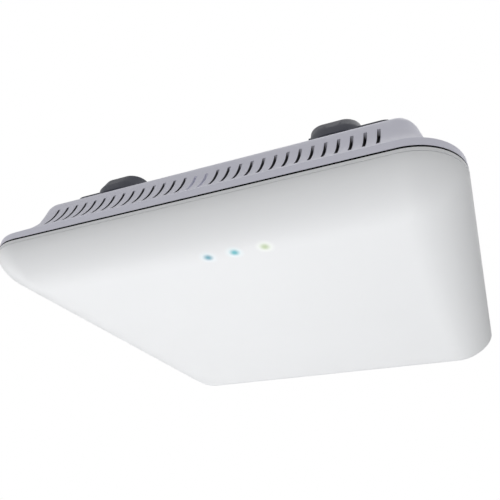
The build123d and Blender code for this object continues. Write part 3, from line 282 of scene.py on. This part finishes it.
def housing_plastic_painted_shade():
    """Grey housing plastic with painted shade: the faces that look inwards and the slots' sides are coloured
    near-black to stand in for the shade inside the housing.
    """
    g = plastic("housing_grey_painted_shade", *BASE_FINISH)
    point, face = g.add("ShaderNodeSeparateXYZ"), g.add("ShaderNodeSeparateXYZ")
    g.put(point.inputs[0], g.place)
    g.put(face.inputs[0], g.add("ShaderNodeTexCoord").outputs["Normal"])
    outwards = [g.calc("MULTIPLY", face.outputs[i], g.calc("SIGN", point.outputs[i])) for i in range(2)]
    sizes = [g.calc("ABSOLUTE", point.outputs[i]) for i in range(2)]
    across = g.calc("GREATER_THAN", *sizes)
    along_x = g.calc("MULTIPLY", across, outwards[0])
    along_y = g.calc("MULTIPLY", g.calc("SUBTRACT", 1.0, across), outwards[1])
    painted_shade_mask = g.calc("LESS_THAN", g.calc("ADD", along_x, along_y), INSIDE_DOT)
    conditions = (
        g.calc("LESS_THAN", g.calc("ABSOLUTE", face.outputs[2]), UPRIGHT_DOT),
        g.calc("LESS_THAN", point.outputs[2], INSIDE_TOP),
        g.calc("GREATER_THAN", g.calc("MINIMUM", *sizes), BLIND_SLOTS),
    )
    for condition in conditions:
        painted_shade_mask = g.calc("MULTIPLY", painted_shade_mask, condition)
    # painted shade: the masked inward faces and slot sides get the near-black colour in place of the shade
    # that falls inside the housing
    base = g.shader.inputs["Base Color"].links[0].from_socket
    g.set(Base_Color=g.mix(painted_shade_mask, base, INSIDE_PAINTED_SHADE))
    return g


def board_mask():
    """Circuit board: green mask over a grid of tracks, with small tinned vias."""
    g = Graph("board_green")
    tracks = g.add("ShaderNodeTexBrick", offset=0.37, squash=0.6, squash_frequency=3)
    g.put(tracks.inputs["Vector"], g.scaled((1 / (7 * MM),) * 3))
    layout = {"Scale": 5.0, "Mortar Size": 0.035, "Mortar Smooth": 0.1, "Brick Width": 0.6}
    for name, number in layout.items():
        tracks.inputs[name].default_value = number
    vias = g.remap(g.cells(3.4 * MM), (0.10, 0.12), (1.0, 0.0))
    mask = g.mix(tracks.outputs["Fac"], (0.014, 0.105, 0.040), (0.030, 0.190, 0.075))
    g.set(
        Base_Color=g.mix(vias, mask, (0.62, 0.58, 0.42)),
        Metallic=g.calc("MULTIPLY", vias, 0.9),
        Roughness=g.remap(g.noise(2 * MM, 3.0), NOISE_SPAN, (0.22, 0.38)),
        Normal=g.bump(g.calc("ADD", tracks.outputs["Fac"], vias), 0.03 * MM, 0.7),
    )
    return g


def clear_plastic(name, colour, transmission):
    """Clear moulding with a slightly orange-peeled surface."""
    g = Graph(name)
    g.set(
        Base_Color=g.mix(g.noise(4 * MM), shade(colour, 0.96), shade(colour, 1.04)),
        Roughness=g.remap(g.noise(1.5 * MM, 3.0), NOISE_SPAN, (0.06, 0.16)),
        Normal=g.bump(g.noise(0.8 * MM, 2.0), 0.004 * MM),
    )
    g.shader.inputs["Transmission Weight"].default_value = transmission
    g.shader.inputs["IOR"].default_value = PLASTIC_IOR
    return g


def label_film():
    """Blank white film with a grey frame line and a faint fibre."""
    g = Graph("label_white")
    low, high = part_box("rating_label")
    split = g.add("ShaderNodeSeparateXYZ")
    g.put(split.inputs[0], g.place)
    centre, half = (low + high) / 2, (high - low) / 2
    edge = []
    for axis in range(2):
        off = g.calc("ABSOLUTE", g.calc("SUBTRACT", split.outputs[axis], centre[axis]))
        edge.append(g.calc("SUBTRACT", half[axis], off))
    inset = g.calc("MINIMUM", *edge)
    line = g.calc("MULTIPLY", g.calc("GREATER_THAN", inset, 1.4 * MM), g.calc("LESS_THAN", inset, 1.7 * MM))
    paper = g.mix(g.noise(0.7 * MM, 4.0), (0.70, 0.70, 0.68), (0.80, 0.80, 0.78))
    g.set(
        Base_Color=g.mix(line, paper, (0.25, 0.25, 0.26)),
        Roughness=g.remap(g.noise(5 * MM), NOISE_SPAN, (0.32, 0.45)),
        Normal=g.bump(g.noise(0.4 * MM, 3.0), 0.004 * MM),
    )
    return g


FINISHES = {
    "cover_white": cover_plastic(),
    "base_grey": plastic("base_grey", *BASE_FINISH),
    # painted shade: a near-black strip flush in the seam between cover and base, standing in for the shadow
    # in the gap there
    "gasket_black": rubber("gasket_black", (0.004, 0.004, 0.005), 0.5 * MM, 0.02 * MM, 0.05),
    "bracket_slate": plastic("bracket_slate", (0.078, 0.082, 0.106), 0.46, 0.5 * MM, 0.03 * MM, 0.06),
    "latch_black": plastic("latch_black", (0.040, 0.042, 0.050), 0.36, 0.45 * MM, 0.02 * MM),
    "spring_steel": metal("spring_steel", (0.66, 0.65, 0.62), 0.24, (12.0, 1.0, 12.0)),
    "screw_steel": metal("screw_steel", (0.64, 0.64, 0.65), 0.30, (6.0, 6.0, 1.5)),
    "label_white": label_film(),
    "board_green": board_mask(),
    "chip_black": plastic("chip_black", (0.028, 0.028, 0.031), 0.55, 0.25 * MM, 0.02 * MM, 0.10),
    "pad_grey": rubber("pad_grey", (0.38, 0.42, 0.50), 0.5 * MM),
    "sink_aluminium": metal("sink_aluminium", (0.76, 0.77, 0.79), 0.34, (12.0, 1.0, 12.0)),
    "shield_tin": metal("shield_tin", (0.72, 0.72, 0.70), 0.28),
    "can_aluminium": metal("can_aluminium", (0.80, 0.80, 0.82), 0.22, (2.0, 2.0, 9.0)),
    "choke_grey": plastic("choke_grey", (0.095, 0.095, 0.105), 0.62, 0.30 * MM, 0.05 * MM, 0.12),
    "led_clear": clear_plastic("led_clear", (0.85, 0.92, 0.95), 0.5),
    "pipe_clear": clear_plastic("pipe_clear", (0.90, 0.95, 0.97), 0.9),
    "mask_black": rubber("mask_black", (0.018, 0.018, 0.018), 0.8 * MM, 0.12 * MM),
    "jack_black": plastic("jack_black", (0.030, 0.030, 0.034), 0.40, 0.35 * MM, 0.02 * MM),
    "jack_steel": metal("jack_steel", (0.70, 0.70, 0.68), 0.25, (10.0, 1.0, 10.0)),
    "contact_gold": metal("contact_gold", (0.90, 0.68, 0.28), 0.20),
    "antenna_brass": metal("antenna_brass", (0.76, 0.74, 0.68), 0.27),
    "coax_grey": rubber("coax_grey", (0.16, 0.165, 0.18), 0.9 * MM, 0.01 * MM),
    "button_black": plastic("button_black", (0.040, 0.040, 0.044), 0.34, 0.3 * MM, 0.012 * MM),
}
HOUSING_PAINTED_SHADE_FINISH = housing_plastic_painted_shade()


# ---- CAD nodes: finishes and shading -------------------------------------------------------------
def smoothing_group():
    """A modifier's node group that joins split corners and smooths all but the sharp edges."""
    group = bpy.data.node_groups.new("smooth_by_angle", "GeometryNodeTree")
    group.interface.new_socket("Geometry", in_out="INPUT", socket_type="NodeSocketGeometry")
    group.interface.new_socket("Geometry", in_out="OUTPUT", socket_type="NodeSocketGeometry")
    nodes, links = group.nodes, group.links
    start, end = nodes.new("NodeGroupInput"), nodes.new("NodeGroupOutput")
    forget = nodes.new("GeometryNodeRemoveAttribute")
    forget.inputs["Name"].default_value = "custom_normal"
    weld = nodes.new("GeometryNodeMergeByDistance")
    weld.inputs["Distance"].default_value = WELD_DISTANCE
    faces = nodes.new("GeometryNodeSetShadeSmooth")
    edges = nodes.new("GeometryNodeSetShadeSmooth")
    edges.domain = "EDGE"
    angle = nodes.new("GeometryNodeInputMeshEdgeAngle")
    sharp = nodes.new("FunctionNodeCompare")
    sharp.inputs["B"].default_value = SMOOTH_ANGLE
    edges.inputs["Shade Smooth"].default_value = False
    links.new(angle.outputs["Unsigned Angle"], sharp.inputs["A"])
    links.new(sharp.outputs["Result"], edges.inputs["Selection"])
    chain = (start.outputs[0], forget, weld, faces, edges)
    last = chain[0]
    for node in chain[1:]:
        links.new(last, node.inputs[0])
        last = node.outputs[0]
    links.new(last, end.inputs[0])
    return group


def dress_cad_nodes():
    """Gives every CAD node the finish that the record names, and smooth shading."""
    smoothing = smoothing_group()
    for part in frame["record"]["subparts"]:
        node = NODES[part["node"]]
        finish = HOUSING_PAINTED_SHADE_FINISH if part["node"] == "base_housing" else FINISHES[part["material_slot"]]
        node.data.materials.clear()
        node.data.materials.append(finish.material)
        node.modifiers.new("smoothing", "NODES").node_group = smoothing


# ---- leaf spring ---------------------------------------------------------------------------------
SPRING_LINE = (  # (y, z) along the middle of the leaf at rest, from its screw to its tip
    (-9.4, -2.38), (-12.3, -2.38), (-15.0, -2.36), (-18.0, -2.12), (-21.5, -1.88),
    (-25.0, -1.98), (-28.5, -2.72), (-31.2, -3.70), (-32.8, -4.02), (-34.2, -3.86),
)
SPRING_HALF_WIDTH = 2.5 * MM
SPRING_TAPER = 0.28  # share of the width lost at the tip
SPRING_THICKNESS = 0.4 * MM
SPRING_EDGE = 0.07 * MM
SPRING_CORNER = math.radians(60)
SPRING_STEPS = 5


def smooth_points(points, steps):
    """Points on a smooth curve through the given ones (Catmull-Rom), in metres."""
    p = [Vector((y * MM, z * MM)) for y, z in points]
    p = [2 * p[0] - p[1]] + p + [2 * p[-1] - p[-2]]
    made = []
    for a, b, c, d in zip(p, p[1:], p[2:], p[3:]):
        for i in range(steps):
            t = i / steps
            made.append(0.5 * (2 * b + (c - a) * t + (2 * a - 5 * b + 4 * c - d) * t * t
                               + (3 * b - a - 3 * c + d) * t ** 3))
    return made + [p[-2]]


def make_spring_leaf():
    """The latch's leaf spring, which bends between the bracket and the latch."""
    line = smooth_points(SPRING_LINE, SPRING_STEPS)
    sheet = bmesh.new()
    rows = []
    for i, point in enumerate(line):
        along = (line[min(i + 1, len(line) - 1)] - line[max(i - 1, 0)]).normalized()
        off = Vector((-along.y, along.x)) * SPRING_THICKNESS / 2
        taper = 1 - SPRING_TAPER * (i / (len(line) - 1)) ** 2
        ring = []
        for side, face in ((-1, -1), (1, -1), (1, 1), (-1, 1)):
            spot = point + off * face
            ring.append(sheet.verts.new((side * SPRING_HALF_WIDTH * taper, spot.x, spot.y)))
        rows.append(ring)
    for low, high in zip(rows, rows[1:]):
        for i in range(4):
            j = (i + 1) % 4
            sheet.faces.new((low[i], low[j], high[j], high[i]))
    sheet.faces.new(rows[0][::-1])
    sheet.faces.new(rows[-1])
    bmesh.ops.recalc_face_normals(sheet, faces=sheet.faces)
    corners = [e for e in sheet.edges if e.calc_face_angle(0) > SPRING_CORNER]
    bmesh.ops.bevel(sheet, geom=corners, offset=SPRING_EDGE, segments=2, affect="EDGES", clamp_overlap=True)
    leaf = piece_from("latch_spring_leaf", sheet, "spring_steel")
    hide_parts("latch_spring")
    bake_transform(leaf)


def piece_from(name, shape, *slots):
    """A smooth-shaded object made from a bmesh, with the finishes of the named slots."""
    mesh = bpy.data.meshes.new(name)
    shape.to_mesh(mesh)
    shape.free()
    for slot in slots:
        mesh.materials.append(FINISHES[slot].material)
    mesh.shade_smooth()
    mesh.set_sharp_from_angle(angle=SMOOTH_ANGLE)
    made = bpy.data.objects.new(name, mesh)
    bpy.context.scene.collection.objects.link(made)
    return made


# ---- small parts on the board --------------------------------------------------------------------
SMALL_SIZES = ((1.6, 0.8, 0.55), (2.0, 1.25, 0.8), (1.0, 0.5, 0.4))  # length, width and height in millimetres
SMALL_PITCH = (6.1 * MM, 4.7 * MM)
SMALL_MARGIN = 1.3 * MM
SMALL_END = 0.22  # share of the length that each tinned end takes
SMALL_WAIST = 0.92  # size of the body between the ends
SMALL_EDGE = 0.05 * MM
CROWDED = (
    "processor_chip", "radio_chips", "memory_chips", "heatsink", "ethernet_transformers", "board_capacitors",
    "board_chokes", "poe_jack_shell", "lan_jack_shell", "dc_jack_housing", "reset_switch",
)


def islands(node):
    """The lowest and highest corner of each separate solid of a CAD node."""
    copy = bmesh.new()
    copy.from_mesh(NODES[node].data)
    bmesh.ops.remove_doubles(copy, verts=copy.verts, dist=WELD_DISTANCE)
    left, boxes = set(copy.verts), []
    while left:
        todo, found = [left.pop()], []
        while todo:
            vert = todo.pop()
            found.append(vert.co.copy())
            for edge in vert.link_edges:
                other = edge.other_vert(vert)
                if other in left:
                    left.remove(other)
                    todo.append(other)
        boxes.append((Vector(map(min, zip(*found))), Vector(map(max, zip(*found)))))
    copy.free()
    return boxes


def add_small_part(shape, centre, size, turned):
    """A chip resistor or capacitor: a body between two slightly larger tinned ends."""
    length, width, height = (v * MM for v in size)
    half, inner = length / 2, length * (0.5 - SMALL_END)
    spans = ((-half, -inner, 1.0, 1), (-inner, inner, SMALL_WAIST, 0), (inner, half, 1.0, 1))
    for x0, x1, swell, finish in spans:
        made = bmesh.ops.create_cube(shape, size=1.0)["verts"]
        for vert in made:
            x = x0 if vert.co.x < 0 else x1
            y = vert.co.y * width * swell
            z = (vert.co.z + 0.5) * height * swell
            vert.co = centre + (Vector((-y, x, z)) if turned else Vector((x, y, z)))
        faces = {f for v in made for f in v.link_faces}
        for face in faces:
            face.material_index = finish
        rims = list({e for f in faces for e in f.edges})
        bmesh.ops.bevel(shape, geom=rims, offset=SMALL_EDGE, segments=1, affect="EDGES", clamp_overlap=True)


def make_small_parts():
    """Rows of chip resistors and capacitors wherever the board's top is free."""
    low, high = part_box("main_board")
    taken = [box for name in CROWDED for box in islands(name)]
    shape = bmesh.new()
    columns = int((high.x - low.x) / SMALL_PITCH[0]) - 1
    rows = int((high.y - low.y) / SMALL_PITCH[1]) - 1
    for i in range(columns):
        for j in range(rows):
            spot = Vector((low.x + SMALL_PITCH[0] * (i + 1), low.y + SMALL_PITCH[1] * (j + 1), high.z))
            kind = (i * 5 + j * 3) % 7
            if kind > 4 or any(blocked(spot, box) for box in taken):
                continue
            add_small_part(shape, spot, SMALL_SIZES[kind % 3], kind % 2)
    parts = piece_from("board_small_parts", shape, "choke_grey", "shield_tin")
    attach(parts, "access_point")


def blocked(spot, box):
    """Whether a spot on the board lies under or near a part's box."""
    (x0, y0, _), (x1, y1, _) = box
    near_x = x0 - SMALL_MARGIN < spot.x < x1 + SMALL_MARGIN
    return near_x and y0 - SMALL_MARGIN < spot.y < y1 + SMALL_MARGIN


# ---- room ----------------------------------------------------------------------------------------
def make_floor():
    """Pale floor far below the object."""
    mesh = bpy.data.meshes.new("floor")
    half = FLOOR_SIZE / 2
    corners = [(-half, -half, FLOOR_Z), (half, -half, FLOOR_Z), (half, half, FLOOR_Z), (-half, half, FLOOR_Z)]
    mesh.from_pydata(corners, [], [(0, 1, 2, 3)])
    floor = bpy.data.objects.new("floor", mesh)
    bpy.context.scene.collection.objects.link(floor)
    g = Graph("floor")
    g.set(Base_Color=g.mix(g.noise(FLOOR_CLOUDS, 3.0), *FLOOR_SHADES))
    g.shader.inputs["Roughness"].default_value = 0.8
    mesh.materials.append(g.material)


def make_surroundings():
    """Surroundings that are white to the camera and give more light from above than from below."""
    world = bpy.data.worlds.new("studio")
    bpy.context.scene.world = world
    world.use_nodes = True
    tree = world.node_tree
    tree.nodes.clear()
    place, split = tree.nodes.new("ShaderNodeTexCoord"), tree.nodes.new("ShaderNodeSeparateXYZ")
    height, ramp = tree.nodes.new("ShaderNodeMapRange"), tree.nodes.new("ShaderNodeValToRGB")
    height.inputs["From Min"].default_value = -1.0
    elements = ramp.color_ramp.elements
    elements.remove(elements[1])
    for i, (level, light) in enumerate(SKY):
        spot = elements[0] if i == 0 else elements.new((level + 1) / 2)
        spot.position = (level + 1) / 2
        spot.color = (light, light, light, 1)
    ray, choose = tree.nodes.new("ShaderNodeLightPath"), tree.nodes.new("ShaderNodeMixShader")
    seen, cast = tree.nodes.new("ShaderNodeBackground"), tree.nodes.new("ShaderNodeBackground")
    seen.inputs["Color"].default_value = (1, 1, 1, 1)
    output = tree.nodes.new("ShaderNodeOutputWorld")
    tree.links.new(place.outputs["Generated"], split.inputs[0])
    tree.links.new(split.outputs["Z"], height.inputs["Value"])
    tree.links.new(height.outputs["Result"], ramp.inputs[0])
    tree.links.new(ramp.outputs["Color"], cast.inputs["Color"])
    tree.links.new(ray.outputs["Is Camera Ray"], choose.inputs[0])
    tree.links.new(cast.outputs[0], choose.inputs[1])
    tree.links.new(seen.outputs[0], choose.inputs[2])
    tree.links.new(choose.outputs[0], output.inputs[0])


def make_softboxes():
    """Square lights aimed at the middle of the object's lowest face."""
    for name, place, size, power in SOFTBOXES:
        light = bpy.data.lights.new(name, "AREA")
        light.size = size
        light.energy = power
        box = bpy.data.objects.new(name, light)
        box.location = place
        aim = Vector((0, 0, CAD_BOX[0].z)) - Vector(place)
        box.rotation_mode = "QUATERNION"
        box.rotation_quaternion = aim.to_track_quat("-Z", "Y")
        box.visible_camera = False
        box.visible_glossy = name not in MATT_BOXES
        bpy.context.scene.collection.objects.link(box)


def make_camera():
    """The camera, at the viewing angle worked out for the object."""
    data = bpy.data.cameras.new("camera")
    data.sensor_width = CAMERA_SENSOR
    data.lens = CAMERA_LENS
    data.shift_x, data.shift_y = CAMERA_SHIFT
    data.clip_start = 0.01
    camera = bpy.data.objects.new("camera", data)
    yaw, pitch = CAMERA_YAW, CAMERA_PITCH
    ahead = Vector((math.sin(yaw) * math.cos(pitch), math.cos(yaw) * math.cos(pitch), math.sin(pitch)))
    level = Vector((math.cos(yaw), -math.sin(yaw), 0))
    upright = level.cross(ahead)
    right = level * math.cos(CAMERA_ROLL) + upright * math.sin(CAMERA_ROLL)
    up = upright * math.cos(CAMERA_ROLL) - level * math.sin(CAMERA_ROLL)
    turn = Matrix((right, up, -ahead)).transposed().to_4x4()
    camera.matrix_world = Matrix.Translation(CAMERA_AT) @ turn
    bpy.context.scene.collection.objects.link(camera)
    bpy.context.scene.camera = camera


make_camera()
make_floor()
make_surroundings()
make_softboxes()
dress_cad_nodes()
make_spring_leaf()
make_small_parts()
bpy.context.scene.view_settings.view_transform = "Standard"
